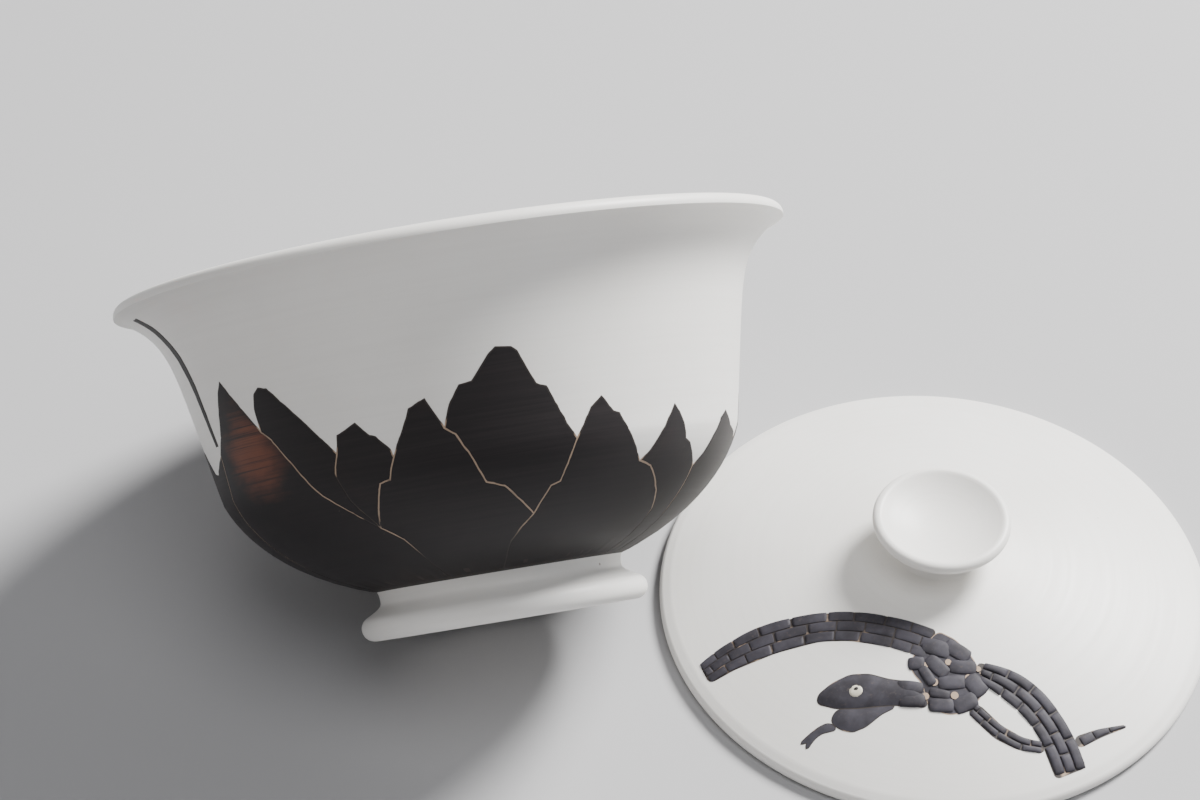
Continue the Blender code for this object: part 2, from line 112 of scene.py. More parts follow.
# Inlays: heights over the surface, spreads past the CAD inlay's own edge, and mesh steps.
INLAY_BASE = 7.6         # lower edge of the CAD mountains
INLAY_BASE_REACH = 0.5   # an outline this close to that edge belongs to a mountain's foot
INLAY_UNDER_FOOT = 0.5
INLAY_BASE_GAP = 0.05
INLAY_PROUD = 0.075
INLAY_EDGE = 0.050
INLAY_EDGE_WIDTH = 0.3
INLAY_FLOOR = -0.5
INLAY_SPREAD = 0.09
SLIP_PROUD = 0.032
SLIP_STAGGER = 0.004     # neighbours' slip lies at different heights, where it overlaps
SLIP_LEVELS = 3
SLIP_SPREAD = 0.28
BACKING_PROUD = 0.008
BACKING_TOP = 15.8       # below this height the dark clay is one band
BACKING_STEPS = 16
TOP_DEPTH = -0.15        # a CAD face whose corners all lie above this is part of the inlay's top
MITRE_DOT = 0.1
MITRE_LIMIT = 1.6        # longest reach of a corner, as a multiple of the inset
CLAY_STEP = 1.3
BORDER_CLEAR = 0.45      # share of a step that inner points keep from the border
OUTLINE_STEP = 0.5
HAND_CUT = 0.09          # how far a hand-cut edge wanders
HAND_CUT_SCALE = 0.9
HAND_NICK = 0.05
HAND_NICK_SCALE = 2.7
HAND_CUT_LAYER = 3.0     # the two wanderings are read from two layers of one noise
HAND_NICK_LAYER = 8.0
NOISE_SEED = 7           # without a seed of its own the noise differs from run to run
SEAM_REACH = 0.75        # slip this close to another mountain lies in a seam
SEAM_SEARCH = 1
DARK_LINE_HEIGHT = 10.0  # below this the slip in the seams is dark
TAN_LINE_HEIGHT = 13.0
# The seam that fades out half-way down, as (turn, height).
FADED_SEAM = [(-29.0, 21.5), (-28.0, 18.5), (-25.4, 15.6)]
FADED_REACH = 0.8
RUSTY_MOUNTAIN = "mountain_01"
RUST_PLACE = (-50.5, 28.0)  # turn and height of the red-brown cloud
RUST_REACH = 7.5
RUST_SHIFT = 6           # the wandering of the cloud's edge moves it out by this much
RUST_WANDER = 10

# Snake: centre lines on the lid with the half width at each point, as (x, y, half width).
ARCH_LEFT_LINE = [(-36.9, -9.0, 1.85), (-33, -8.0, 2.25), (-27.7, -7.6, 2.6), (-20.9, -8.4, 2.4),
                  (-15.4, -10.2, 2.35), (-9.9, -13.2, 2.4), (-5.9, -15.9, 2.4)]
ARCH_RIGHT_LINE = [(0.1, -21.4, 1.5), (3.4, -23.8, 2.25), (5.9, -26.6, 2.45), (7.6, -30.0, 2.4),
                   (8.6, -33.6, 2.4), (9.0, -37.0, 2.4)]
TAIL_LINE = [(-2.5, -26.4, 0.95), (-1.3, -28.1, 0.95), (0.3, -30.1, 0.95), (2.9, -32.2, 0.95),
             (5.8, -33.2, 0.85)]
TAIL_TIP_LINE = [(11.6, -33.1, 0.75), (14.8, -32.0, 0.55), (19.0, -31.3, 0.12)]
# Single plates of the coil and the neck, as (x, y, half length, half width, angle in degrees).
COIL_PLATES = [(-8.5, -18.3, 1.0, 1.25, 80), (-7.5, -20.4, 1.75, 0.8, -72),
               (-5.8, -19.4, 2.0, 1.15, -58), (-5.2, -16.7, 2.2, 1.3, -30),
               (-2.4, -17.8, 2.1, 1.2, -45), (-2.3, -20.3, 2.1, 1.1, -14),
               (-4.3, -22.2, 2.1, 1.1, -8), (-1.2, -23.2, 1.8, 1.4, -62),
               (-3.3, -25.4, 1.9, 1.25, 12), (-6.7, -25.0, 1.9, 1.05, -14),
               (-6.5, -23.4, 1.6, 0.75, -24)]
NECK_PLATES = [(-10.3, -21.5, 2.0, 1.0, -22), (-10.5, -23.4, 2.0, 1.0, -15)]
# Where the pale slip shows between the coil's plates, as (x, y, radius).
COIL_SPOTS = [(-1.9, -22.0, 0.5), (-4.5, -24.1, 0.55), (-8.5, -23.3, 0.5), (-6.8, -21.6, 0.55),
              (-7.3, -18.9, 0.4), (-4.1, -19.2, 0.45), (-0.2, -21.0, 0.4)]
SPOT_RISE = 0.2
SPOT_SIDES = 12
SPOT_STEP = 0.3
# The eyeball and its pupil, as (radius, height of the edge, height of the middle, shift from EYE_PLACE).
EYE_PLACE = (-17.7, -20.0)
EYE_PARTS = [(1.2, 0.2, 0.62, (0, 0)), (0.42, 0.5, 0.74, (0.12, 0.22))]
EYE_FLATTENING = 0.92
EYE_SIDES = 28
EYE_STEP = 0.3
HEAD_RISE = 0.40
JAW_RISE = 0.25
TONGUE_RISE = 0.12
COIL_RISE = 0.05
PILLOW_BASE = 0.05
PILLOW_WIDTH = 1.6       # distance from the edge at which a pillow has risen in full
PILLOW_STEP = 0.55
PLATE_RISE = 0.30
PLATE_BASE = 0.05
PLATE_EDGE = 0.25        # share of its rise that a plate has at its edge
PLATE_SKIRT = -0.1       # the plate's border goes down to this height
PLATE_TILT = 0.05
PLATE_GAP = 0.07
PLATE_OVERRUN = 0.3      # a row ends when no more than this is left
PLATE_REST = 1.4         # a rest shorter than this goes to the last plate
PLATE_SHORTEST = 0.45
PLATE_ROUND = 0.08       # how far a plate's corners are drawn in
SINGLE_ROUND = 0.26
PLATE_STEPS = (-1, -0.95, -0.8, -0.5, -0.17, 0.17, 0.5, 0.8, 0.95, 1)
BAND_SEED = 11
SINGLE_SEED = 5
LINE_STEPS = 60
SNAKE_SIDE = 2.5         # longest side of a CAD outline before its corners are rounded
SNAKE_SPREAD = 0.1
SNAKE_SLIP_SPREAD = 0.23

# Colours.
WHITE_WARM = (0.80, 0.785, 0.755, 1)
WHITE_LIGHT = (0.84, 0.83, 0.805, 1)
WHITE_TURNED = (0.70, 0.685, 0.655, 1)
SPECK_BROWN = (0.20, 0.13, 0.09, 1)
DARK_DEEP = (0.0125, 0.0105, 0.0115, 1)
DARK_STREAK = (0.0185, 0.0150, 0.016, 1)
DARK_BROWN = (0.032, 0.019, 0.016, 1)
RUST_RED = (0.150, 0.052, 0.031, 1)
SLIP_DARK = (0.026, 0.019, 0.017, 1)
SLIP_TAN = (0.36, 0.26, 0.185, 1)
SLATE_DEEP = (0.026, 0.024, 0.030, 1)
SLATE_LIGHT = (0.052, 0.049, 0.062, 1)
SLATE_BROWN = (0.10, 0.075, 0.065, 1)
IVORY_DEEP = (0.50, 0.46, 0.36, 1)
IVORY_LIGHT = (0.70, 0.67, 0.56, 1)
FLOOR_GREY = (0.42, 0.42, 0.43, 1)
SKY_GREY = (0.85, 0.88, 0.95, 1)

# Texture scales per metre, first round the axis and then along it or outwards from it.
WHITE_LINES = (30, 1400)
DARK_LINES = (45, 2600)
RUST_PATCHES = (140, 330)
# Specks: cells per metre, size in a cell, share of the cells without one, strength.
SPECK_SCALE = 150.0
SPECK_SIZE = 0.028
SPECK_SHARE = 0.72
SPECK_STRENGTH = 0.7
# How much of the slip is tan between the bowl's inlays, under the scales and in the coil.
SEAM_TAN = 1.0
SCALE_TAN = 0.12
COIL_TAN = 1.2

# Camera, floor and light.
CAMERA_AIM = (-0.0110, 0.0029, 0.0365)
CAMERA_TURN = 12.2       # degrees that the camera stands left of the bowl's heading
CAMERA_RISE = 46.0
CAMERA_DISTANCE = 0.4376
LENS = 93.0
FLOOR_SIZE = 8.0
LIGHTS_AIM = (0.0, 0.0, 0.03)
# Disc lights, as (name, place, size, power, colour).
LIGHTS = [("key", (0.85, 0.45, 0.85), 0.5, 58.0, (1.0, 0.99, 0.97)),
          ("fill", (-0.9, -0.6, 0.7), 0.9, 2.2, (1.0, 0.94, 0.88)),
          ("top", (0.1, -0.35, 1.2), 0.8, 5.0, (1, 1, 1))]
SKY_STRENGTH = 0.21


# ---------------------------------------------------------------- profiles and surfaces

def bowl_radius(height):
    """Outer radius of the bowl's wall at a height."""
    if height <= WALL_START:
        rise = (BELLY_CENTRE - height) / BELLY_DEPTH
        return BELLY_RADIUS * math.sqrt(1 - rise * rise)
    share = (height - WALL_START) / (LIP_HEIGHT - WALL_START)
    return bowl_radius(WALL_START) + WALL_SLOPE * (height - WALL_START) + FLARE * share ** FLARE_POWER


def smooth(share):
    """A share kept between 0 and 1, with a soft start and end."""
    share = min(max(share, 0.0), 1.0)
    return share * share * (3 - 2 * share)


def bowl_inside(height):
    """Inner radius of the bowl at a height."""
    if height >= BELLY_CENTRE:
        thin = smooth((THINNING_TOP - height) / (THINNING_TOP - BELLY_CENTRE))
        thick = bowl_radius(BELLY_CENTRE) - INSIDE_RADIUS
        return bowl_radius(height) - (2 * LIP_TUBE + (thick - 2 * LIP_TUBE) * thin)
    rise = (BELLY_CENTRE - height) / (BELLY_CENTRE - INSIDE_FLOOR)
    wall = INSIDE_RADIUS - WALL_SLOPE * (BELLY_CENTRE - height)
    return wall * max(1 - rise ** INSIDE_POWER, 0) ** (1 / INSIDE_POWER)


def lid_height(radius):
    """Height of the lid's outer surface at a radius."""
    return LID_CROWN - LID_DROP * (radius / LID_RADIUS) ** LID_POWER


def on_bowl(x, height, offset):
    """A point over the bowl's outer surface; x is a width round the belly, in millimetres."""
    radius = bowl_radius(height)
    slope = (bowl_radius(height + 0.05) - bowl_radius(height - 0.05)) / 0.1
    lean = math.hypot(1, slope)
    angle = math.radians(BOWL_FRONT + x / DEGREE)
    out = radius + offset / lean
    return Vector((out * math.cos(angle), out * math.sin(angle), height - offset * slope / lean))


def off_bowl(point):
    """Width, height and offset of a point near the bowl's outer surface."""
    turn = math.degrees(math.atan2(point.y, point.x)) - BOWL_FRONT
    return turn * DEGREE, point.z, math.hypot(point.x, point.y) - bowl_radius(point.z)


def on_lid(x, y, offset):
    """A point over the lid's outer surface."""
    radius = math.hypot(x, y)
    slope = (lid_height(radius + 0.05) - lid_height(radius - 0.05)) / 0.1
    lean = math.hypot(1, slope)
    out = 1 - offset * slope / lean / radius
    return Vector((x * out, y * out, lid_height(radius) + offset / lean))


def off_lid(point):
    """Place and offset of a point near the lid's outer surface."""
    return point.x, point.y, point.z - lid_height(math.hypot(point.x, point.y))


def arc(centre_r, centre_z, radius, start, end, steps):
    """Points (r, z) along an arc; angles in degrees, 0 outwards and 90 up."""
    points = []
    for i in range(steps + 1):
        angle = math.radians(start + (end - start) * i / steps)
        points.append((centre_r + radius * math.cos(angle), centre_z + radius * math.sin(angle)))
    return points


# ---------------------------------------------------------------- mesh helpers

def piece_from(name, shape, placement, materials):
    """Turn a bmesh in millimetres into a smooth object, moved to its place by a matrix."""
    bmesh.ops.scale(shape, vec=(MM, MM, MM), verts=shape.verts)
    mesh = bpy.data.meshes.new(name)
    shape.to_mesh(mesh)
    shape.free()
    mesh.transform(placement)
    mesh.shade_smooth()
    for material in materials:
        mesh.materials.append(material)
    made = bpy.data.objects.new(name, mesh)
    bpy.context.scene.collection.objects.link(made)
    return made


def finish_piece(made, body, slot, *nodes):
    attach(made, body)
    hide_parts(*nodes)


def turned(outline, sides=TURNED_SIDES):
    """A closed solid turned from an outline of (r, z) points; r = 0 makes a pole."""
    shape = bmesh.new()
    rings = []
    for radius, height in outline:
        count = sides if radius > 1e-6 else 1
        ring = []
        for i in range(count):
            angle = math.tau * i / sides
            ring.append(shape.verts.new((radius * math.cos(angle), radius * math.sin(angle), height)))
        rings.append(ring)
    pairs = list(zip(rings, rings[1:]))
    if len(rings[0]) > 1:
        pairs.append((rings[-1], rings[0]))
    for low, high in pairs:
        for i in range(sides):
            j = (i + 1) % sides
            corners = [low[i % len(low)], low[j % len(low)], high[j % len(high)], high[i % len(high)]]
            shape.faces.new(list(dict.fromkeys(corners)))
    bmesh.ops.recalc_face_normals(shape, faces=shape.faces)
    return shape


def node_outline(node, placement, off_surface):
    """The outline of a CAD inlay's top face, as points on the surface that it follows."""
    shape = bmesh.new()
    shape.from_mesh(frame["nodes"][node].data)
    bmesh.ops.remove_doubles(shape, verts=shape.verts, dist=1e-6)
    back = placement.inverted()
    flat = {}
    for vert in shape.verts:
        flat[vert] = off_surface(back @ vert.co / MM)
    tops = [face for face in shape.faces if all(flat[v][2] > TOP_DEPTH for v in face.verts)]
    chosen = set(tops)
    follow = {}
    for face in tops:
        for loop in face.loops:
            if sum(other in chosen for other in loop.edge.link_faces) == 1:
                follow[loop.vert] = loop.link_loop_next.vert
    ring = []
    longest = 0
    while follow:
        start = next(iter(follow))
        loop_ring = [start]
        step = follow.pop(start)
        while step is not start:
            loop_ring.append(step)
            step = follow.pop(step)
        length = sum((a.co - b.co).length for a, b in zip(loop_ring, loop_ring[1:]))
        if length > longest:
            longest = length
            ring = loop_ring
    points = [Vector(flat[vert][:2]) for vert in ring]
    shape.free()
    full_turn = 360 * DEGREE
    if off_surface is off_bowl:
        for point in points[1:]:
            point.x -= round((point.x - points[0].x) / full_turn) * full_turn
    return points


def inset_outline(outline, distance):
    """Move every side of a closed outline inwards by a distance (outwards if it is negative)."""
    count = len(outline)
    area = sum(a[0] * b[1] - b[0] * a[1] for a, b in zip(outline, outline[1:] + outline[:1]))
    inward = math.copysign(1, area) * distance
    moved = []
    for i in range(count):
        before = Vector(outline[i]) - Vector(outline[i - 1])
        after = Vector(outline[(i + 1) % count]) - Vector(outline[i])
        normal_before = Vector((-before.y, before.x)).normalized()
        normal_after = Vector((-after.y, after.x)).normalized()
        middle = (normal_before + normal_after).normalized()
        reach = min(1 / max(middle.dot(normal_after), MITRE_DOT), MITRE_LIMIT)
        moved.append(Vector(outline[i]) + middle * inward * reach)
    return moved


def divided(outline, step):
    """The same closed outline with no side longer than a step."""
    points = []
    for start, end in zip(outline, outline[1:] + outline[:1]):
        parts = max(1, math.ceil((end - start).length / step))
        points += [start.lerp(end, i / parts) for i in range(parts)]
    return points


def rounded(outline):
    """A closed outline with its corners cut off twice."""
    for _ in range(2):
        cut = []
        for start, end in zip(outline, outline[1:] + outline[:1]):
            cut += [start.lerp(end, 0.25), start.lerp(end, 0.75)]
        outline = cut
    return outline


def wandering(outline):
    """An outline whose points stray a little, as a hand-cut edge does."""
    moved = []
    for point in outline:
        drift = noise.noise_vector((point.x * HAND_CUT_SCALE, point.y * HAND_CUT_SCALE, HAND_CUT_LAYER))
        nick = noise.noise_vector((point.x * HAND_NICK_SCALE, point.y * HAND_NICK_SCALE, HAND_NICK_LAYER))
        moved.append(point + drift.xy * HAND_CUT + nick.xy * HAND_NICK)
    return moved


def inside(point, outline):
    """Whether a point lies inside a closed outline."""
    crossings = 0
    for a, b in zip(outline, outline[1:] + outline[:1]):
        if (a.y > point.y) != (b.y > point.y):
            if point.x < a.x + (b.x - a.x) * (point.y - a.y) / (b.y - a.y):
                crossings += 1
    return crossings % 2 == 1


def line_distance(place, points):
    """Distance from a place to an open line of points."""
    best = 1e9
    for a, b in zip(points, points[1:]):
        side = b - a
        share = min(max((place - a).dot(side) / max(side.length_squared, 1e-9), 0), 1)
        best = min(best, (place - a - side * share).length)
    return best


def border_distance(place, outline):
    """Distance from a place to the nearest side of a closed outline."""
    return line_distance(place, outline + outline[:1])


def ring_round(x, y, radius, sides, flattening=1.0):
    """A closed outline round a place."""
    ring = []
    for i in range(sides):
        angle = math.tau * i / sides
        ring.append(Vector((x + radius * math.cos(angle), y + radius * flattening * math.sin(angle))))
    return ring


def patch(shape, outline, surface, rise, floor, step, material_index):
    """Add a patch over a surface: rise(distance from border) above it, with sides down to a floor."""
    points = list(outline)
    low_x = min(p.x for p in outline)
    low_y = min(p.y for p in outline)
    columns = int((max(p.x for p in outline) - low_x) / step) + 1
    rows = int((max(p.y for p in outline) - low_y) / step) + 1
    for i in range(columns):
        for j in range(rows):
            point = Vector((low_x + (i + 0.5 * (j % 2)) * step, low_y + (j + 0.5) * step))
            if inside(point, outline) and border_distance(point, outline) > step * BORDER_CLEAR:
                points.append(point)
    sides = [(i, (i + 1) % len(outline)) for i in range(len(outline))]
    flat, _, faces, _, _, _ = delaunay_2d_cdt(points, sides, [], 1, 1e-6)
    top = []
    for point in flat:
        height = rise(border_distance(point, outline))
        top.append(shape.verts.new(surface(point.x, point.y, height)))
    made = []
    uses = set()
    for face in faces:
        made.append(shape.faces.new([top[i] for i in face]))
        uses.update(zip(face, face[1:] + face[:1]))
    low = {}
    for a, b in uses:
        if (b, a) not in uses:
            for i in (a, b):
                if i not in low:
                    low[i] = shape.verts.new(surface(flat[i].x, flat[i].y, floor))
            made.append(shape.faces.new([top[b], top[a], low[a], low[b]]))
    for face in made:
        face.material_index = material_index
    for vert in top:
        if not vert.link_faces:
            shape.verts.remove(vert)


# ---------------------------------------------------------------- materials

class Nodes:
    """Short names for building a node tree under a Principled shader."""

    def __init__(self, name, placement=Matrix()):
        self.material = bpy.data.materials.new(name)
        self.material.use_nodes = True
        self.tree = self.material.node_tree
        self.shader = self.tree.nodes["Principled BSDF"]
        place = self.tree.nodes.new("ShaderNodeTexCoord").outputs["Object"]
        back = placement.inverted()
        self.place = self.put("Mapping", {"Vector": place, "Location": back.to_translation(),
                                          "Rotation": back.to_euler()}).outputs["Vector"]

    def put(self, kind, inputs=(), **settings):
        made = self.tree.nodes.new("ShaderNode" + kind)
        for key, value in settings.items():
            setattr(made, key, value)
        for key, value in dict(inputs).items():
            self.feed(made.inputs[key], value)
        return made

    def feed(self, socket, value):
        if isinstance(value, bpy.types.NodeSocket):
            self.tree.links.new(value, socket)
        else:
            socket.default_value = value

    def math(self, operation, a, b=0.0):
        return self.put("Math", {0: a, 1: b}, operation=operation).outputs[0]

    def ramp(self, value, low, high):
        """0 below low, 1 above high, smooth between."""
        made = self.put("MapRange", {"Value": value, "From Min": low, "From Max": high},
                        interpolation_type="SMOOTHSTEP")
        return made.outputs["Result"]

    def stretched(self, across, along):
        """Object coordinates scaled for lines that run round the axis."""
        made = self.put("VectorMath", {0: self.place, 1: (across, across, along)}, operation="MULTIPLY")
        return made.outputs[0]

    def noise(self, vector, scale, detail=3.0, roughness=0.55):
        made = self.put("TexNoise", {"Vector": vector, "Scale": scale, "Detail": detail,
                                     "Roughness": roughness})
        return made.outputs["Fac"]

    def mix(self, share, a, b):
        made = self.put("Mix", data_type="RGBA")
        self.feed(made.inputs["Factor"], share)
        self.feed(made.inputs["A"], a)
        self.feed(made.inputs["B"], b)
        return made.outputs["Result"]

    def bump(self, height, strength, distance, normal=None):
        made = self.put("Bump", {"Height": height, "Strength": strength, "Distance": distance})
        if normal:
            self.feed(made.inputs["Normal"], normal)
        return made.outputs["Normal"]


def radius_coordinate(nodes):
    """The distance from the object's axis, as a vector for textures that run in rings."""
    flat = nodes.put("VectorMath", {0: nodes.place, 1: (1, 1, 0)}, operation="MULTIPLY").outputs[0]
    length = nodes.put("VectorMath", {0: flat}, operation="LENGTH").outputs["Value"]
    across, outwards = WHITE_LINES
    slow = nodes.put("VectorMath", {0: nodes.place, 1: (across, across, 0)}, operation="MULTIPLY").outputs[0]
    fast = nodes.put("CombineXYZ", {"Z": nodes.math("MULTIPLY", length, outwards)}).outputs[0]
    return nodes.put("VectorMath", {0: slow, 1: fast}, operation="ADD").outputs[0]


def white_clay(name, placement, rings):
    """Satin white clay with sparse specks and faint turning lines, in rings or up the wall."""
    nodes = Nodes(name, placement)
    turning = radius_coordinate(nodes) if rings else nodes.stretched(*WHITE_LINES)
    lines = nodes.noise(turning, 1.0, 2.0)
    cloud = nodes.noise(nodes.place, 38.0, 4.0)
    grain = nodes.noise(nodes.place, 2600.0, 2.0)
    colour = nodes.mix(nodes.ramp(cloud, 0.35, 0.7), WHITE_WARM, WHITE_LIGHT)
    shade = nodes.math("MULTIPLY", nodes.ramp(lines, 0.35, 0.75), 0.16)
    colour = nodes.mix(shade, colour, WHITE_TURNED)
    cells = nodes.put("TexVoronoi", {"Vector": nodes.place, "Scale": SPECK_SCALE}, feature="F1")
    chosen = nodes.put("SeparateColor", {"Color": cells.outputs["Color"]})
    small = nodes.math("LESS_THAN", cells.outputs["Distance"], SPECK_SIZE)
    picked = nodes.math("GREATER_THAN", chosen.outputs["Red"], SPECK_SHARE)
    speck = nodes.math("MULTIPLY", nodes.math("MULTIPLY", small, picked), SPECK_STRENGTH)
    colour = nodes.mix(speck, colour, SPECK_BROWN)
    nodes.feed(nodes.shader.inputs["Base Color"], colour)
    rough = nodes.put("MapRange", {"Value": lines, "To Min": 0.36, "To Max": 0.50}).outputs["Result"]
    nodes.feed(nodes.shader.inputs["Roughness"], rough)
    nodes.shader.inputs["Specular IOR Level"].default_value = 0.45
    nodes.shader.inputs["Subsurface Weight"].default_value = 0.06
    nodes.shader.inputs["Subsurface Radius"].default_value = (1.0, 0.85, 0.7)
    nodes.shader.inputs["Subsurface Scale"].default_value = 0.0012
    relief = nodes.bump(lines, 0.10, 0.00012)
    relief = nodes.bump(grain, 0.06, 0.00005, relief)
    nodes.feed(nodes.shader.inputs["Normal"], relief)
    return nodes.material


def dark_clay(name, placement, rust_place=None):
    """Near-black clay with fine streaks round the bowl, and a red-brown cloud round one place."""
    nodes = Nodes(name, placement)
    streaks = nodes.noise(nodes.stretched(*DARK_LINES), 1.0, 4.0, 0.6)
    patches = nodes.noise(nodes.place, 110.0, 3.0)
    colour = nodes.mix(nodes.ramp(streaks, 0.3, 0.75), DARK_DEEP, DARK_STREAK)
    brown = nodes.math("MULTIPLY", nodes.ramp(patches, 0.55, 0.85), 0.35)
    colour = nodes.mix(brown, colour, DARK_BROWN)
    if rust_place:
        away = nodes.put("VectorMath", {0: nodes.place, 1: rust_place}, operation="DISTANCE").outputs["Value"]
        wander = nodes.noise(nodes.stretched(*RUST_PATCHES), 1.0, 3.0)
        away = nodes.math("ADD", away, nodes.math("MULTIPLY", wander, RUST_WANDER * MM))
        cloud = nodes.ramp(away, (RUST_REACH + RUST_SHIFT) * MM, RUST_SHIFT * MM)
        cloud = nodes.math("MULTIPLY", cloud, nodes.ramp(streaks, 0.25, 0.6))
        colour = nodes.mix(cloud, colour, RUST_RED)
    nodes.feed(nodes.shader.inputs["Base Color"], colour)
    rough = nodes.put("MapRange", {"Value": streaks, "To Min": 0.50, "To Max": 0.62}).outputs["Result"]
    nodes.feed(nodes.shader.inputs["Roughness"], rough)
    nodes.shader.inputs["Specular IOR Level"].default_value = 0.28
    relief = nodes.bump(streaks, 0.10, 0.00006)
    nodes.feed(nodes.shader.inputs["Normal"], relief)
    return nodes.material


def slip(name, painted, tan_share):
    """Slip in the seams: tan in patches, and, if painted, only where the mesh's 'tan' says so."""
    nodes = Nodes(name)
    patches = nodes.noise(nodes.place, 420.0, 2.0)
    level = nodes.ramp(patches, 0.62 - tan_share * 0.5, 0.80 - tan_share * 0.35)
    if painted:
        level = nodes.math("MULTIPLY", level, nodes.put("Attribute", attribute_name="tan").outputs["Fac"])
    colour = nodes.mix(level, SLIP_DARK, SLIP_TAN)
    nodes.feed(nodes.shader.inputs["Base Color"], colour)
    nodes.shader.inputs["Roughness"].default_value = 0.62
    return nodes.material


def slate_clay(name):
    """Blue-grey dark clay of the snake, mottled, with a soft sheen."""
    nodes = Nodes(name)
    cloud = nodes.noise(nodes.place, 330.0, 4.0)
    grain = nodes.noise(nodes.place, 2300.0, 3.0)
    colour = nodes.mix(nodes.ramp(cloud, 0.3, 0.72), SLATE_DEEP, SLATE_LIGHT)
    brown = nodes.math("MULTIPLY", nodes.ramp(grain, 0.55, 0.8), 0.35)
    colour = nodes.mix(brown, colour, SLATE_BROWN)
    nodes.feed(nodes.shader.inputs["Base Color"], colour)
    nodes.shader.inputs["Roughness"].default_value = 0.62
    nodes.shader.inputs["Specular IOR Level"].default_value = 0.25
    relief = nodes.bump(grain, 0.18, 0.00006)
    nodes.feed(nodes.shader.inputs["Normal"], relief)
    return nodes.material


def ivory_clay(name):
    """Pale yellowish clay of the eye, faintly mottled."""
    nodes = Nodes(name)
    cloud = nodes.noise(nodes.place, 700.0, 3.0)
    colour = nodes.mix(nodes.ramp(cloud, 0.35, 0.7), IVORY_DEEP, IVORY_LIGHT)
    nodes.feed(nodes.shader.inputs["Base Color"], colour)
    nodes.shader.inputs["Roughness"].default_value = 0.45
    return nodes.material


# ---------------------------------------------------------------- turned pieces

def make_bowl(placement, white):
    outside = []
    for i in range(WALL_STEPS):
        height = BASE_HEIGHT + (LIP_HEIGHT - BASE_HEIGHT) * i / WALL_STEPS
        outside.append((bowl_radius(height), height))
    lip = arc(bowl_radius(LIP_HEIGHT) - LIP_TUBE, LIP_HEIGHT, LIP_TUBE, *LIP_ARC)
    inner_top = LIP_HEIGHT - INSIDE_DROP
    inside_wall = []
    for i in range(INSIDE_STEPS):
        height = inner_top + (BELLY_CENTRE - inner_top) * i / INSIDE_STEPS
        inside_wall.append((bowl_inside(height), height))
    inside_bowl = []
    for i in range(INSIDE_STEPS):
        sink = math.sin(math.pi / 2 * i / INSIDE_STEPS)
        height = BELLY_CENTRE - (BELLY_CENTRE - INSIDE_FLOOR) * sink
        inside_bowl.append((bowl_inside(height), height))
    outline = [(radius, BASE_HEIGHT) for radius in UNDERSIDE_RINGS] + outside + lip
    outline += inside_wall + inside_bowl + [(0, INSIDE_FLOOR)]
    made = piece_from("bowl_turned", turned(outline), placement, [white])
    made.data.set_sharp_from_angle(angle=math.radians(50))
    finish_piece(made, "bowl", "white_clay", "bowl_wall")


def make_foot(placement, white):
    outline = [(FOOT_INNER, height) for height in FOOT_INNER_RINGS]
    outline += arc(FOOT_INNER + FOOT_EDGE, FOOT_EDGE, FOOT_EDGE, *FOOT_EDGE_ARC)
    outline += arc(BEAD_CENTRE, BEAD_TUBE, BEAD_TUBE, *BEAD_ARC)
    start_r, start_z = outline[-1]
    for i in range(1, NECK_STEPS + 1):
        share = i / NECK_STEPS
        neck = math.sin(min(share / NECK_END, 1) * math.pi / 2)
        swell = max(share - SWELL_START, 0) / SWELL_SPAN
        radius = start_r + (FOOT_NECK - start_r) * neck + FOOT_SWELL * swell ** 2
        outline.append((radius, start_z + (FOOT_TOP - start_z) * share))
    made = piece_from("foot_turned", turned(outline), placement, [white])
    finish_piece(made, "bowl", "white_clay", "foot_ring")


def make_lid(placement, white):
    edge = arc(LID_RADIUS - LID_EDGE_TUBE, LID_EDGE_TUBE, LID_EDGE_TUBE, *LID_EDGE_ARC)
    edge_top = LID_RADIUS - LID_EDGE_WIDTH
    seat = KNOB_BASE - KNOB_SEAT
    outside = []
    for i in range(LID_STEPS + 1):
        radius = edge_top + (seat - edge_top) * i / LID_STEPS
        outside.append((radius, lid_height(radius)))
    rim_inner = LID_RADIUS - LID_RIM_WIDTH
    under = []
    for i in range(1, LID_UNDER_STEPS):
        radius = rim_inner * i / LID_UNDER_STEPS
        under.append((radius, lid_height(radius) - LID_THICKNESS))
    outline = [(0, LID_CROWN - LID_THICKNESS)] + under + [(rim_inner, 0)] + edge + outside
    outline.append((0, lid_height(seat)))
    made = piece_from("lid_turned", turned(outline), placement, [white])
    made.data.set_sharp_from_angle(angle=math.radians(60))
    finish_piece(made, "lid", "white_clay", "lid_dome")


